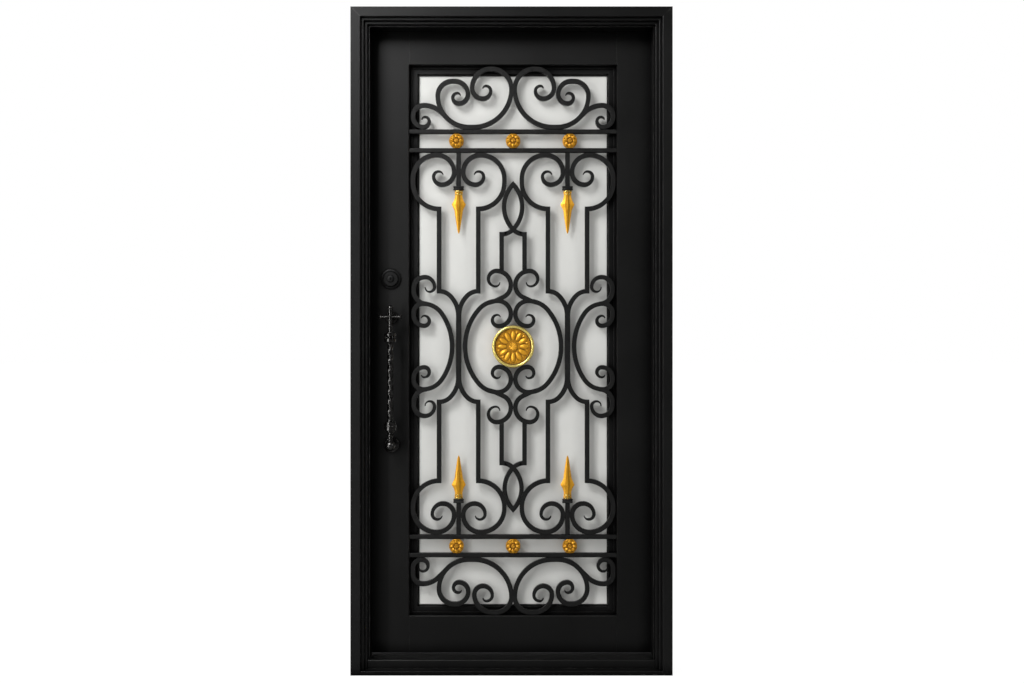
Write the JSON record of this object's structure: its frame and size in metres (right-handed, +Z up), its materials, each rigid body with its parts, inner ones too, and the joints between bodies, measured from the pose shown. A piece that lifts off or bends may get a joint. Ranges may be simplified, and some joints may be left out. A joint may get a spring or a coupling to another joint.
{
  "type": "wrought iron exterior door",
  "caption": "Pre-hung black iron entry door: stepped frame, swinging leaf with a frosted glass light behind a scroll grille with gilt ornaments, pull handle and deadbolt.",
  "frame": {"origin": "middle of the underside of the threshold, half way through the depth of the frame", "axes": "+Z up, +X to the right seen from outside, +Y into the house; the leaf hangs on the right and swings in along +Y"},
  "size_m": [1.003, 0.213, 2.083],
  "materials": {
    "frame_steel": "satin black powder coat",
    "leaf_steel": "satin black powder coat",
    "grille_iron": "satin black over forged iron",
    "handle_iron": "black, hand forged",
    "gilt_casting": "antique gold",
    "frosted_glass": "acid frosted",
    "seal_rubber": "matt black",
    "bare_steel": "brushed"
  },
  "bodies": {
    "frame": {"jamb_lock_side": "frame_steel", "jamb_hinge_side": "frame_steel", "head_jamb": "frame_steel", "threshold": "frame_steel", "weather_seal": "seal_rubber", "strike_plate": "bare_steel", "hinge_leaves_jamb": "frame_steel", "hinge_pins": "bare_steel"},
    "leaf": {"lock_stile": "leaf_steel", "hinge_stile": "leaf_steel", "top_rail": "leaf_steel", "bottom_rail": "leaf_steel", "lock_faceplate": "bare_steel", "sash_stop": "leaf_steel", "sash_left": "leaf_steel", "sash_right": "leaf_steel", "sash_top": "leaf_steel", "sash_bottom": "leaf_steel", "glass_pane": "frosted_glass", "glazing_bead": "leaf_steel", "sash_hinges": "leaf_steel", "sash_clips": "leaf_steel", "cross_bars_upper": "grille_iron", "cross_bars_lower": "grille_iron", "vase_bar_left": "grille_iron", "vase_bar_right": "grille_iron", "centre_scroll_left": "grille_iron", "centre_scroll_right": "grille_iron", "lens_upper": "grille_iron", "lens_lower": "grille_iron", "side_scroll_left": "grille_iron", "side_scroll_right": "grille_iron", "top_scroll_left": "grille_iron", "top_scroll_right": "grille_iron", "bottom_scroll_left": "grille_iron", "bottom_scroll_right": "grille_iron", "spear_posts_upper": "grille_iron", "spear_posts_lower": "grille_iron", "spears_upper": "gilt_casting", "spears_lower": "gilt_casting", "rosettes_upper": "gilt_casting", "rosettes_lower": "gilt_casting", "medallion": "gilt_casting", "handle_hilt": "handle_iron", "handle_grip": "handle_iron", "handle_foot": "handle_iron", "deadbolt_cylinder": "handle_iron", "thumb_turn": "handle_iron", "inside_pull": "handle_iron", "hinge_leaves_door": "leaf_steel"}
  },
  "joints": [
    {"name": "leaf_swing", "type": "hinge", "parent": "frame", "child": "leaf", "pos_m": [0.4575, 0.085, 1.045], "axis": [0, 0, -1], "range_deg": [0, 100]}
  ]
}
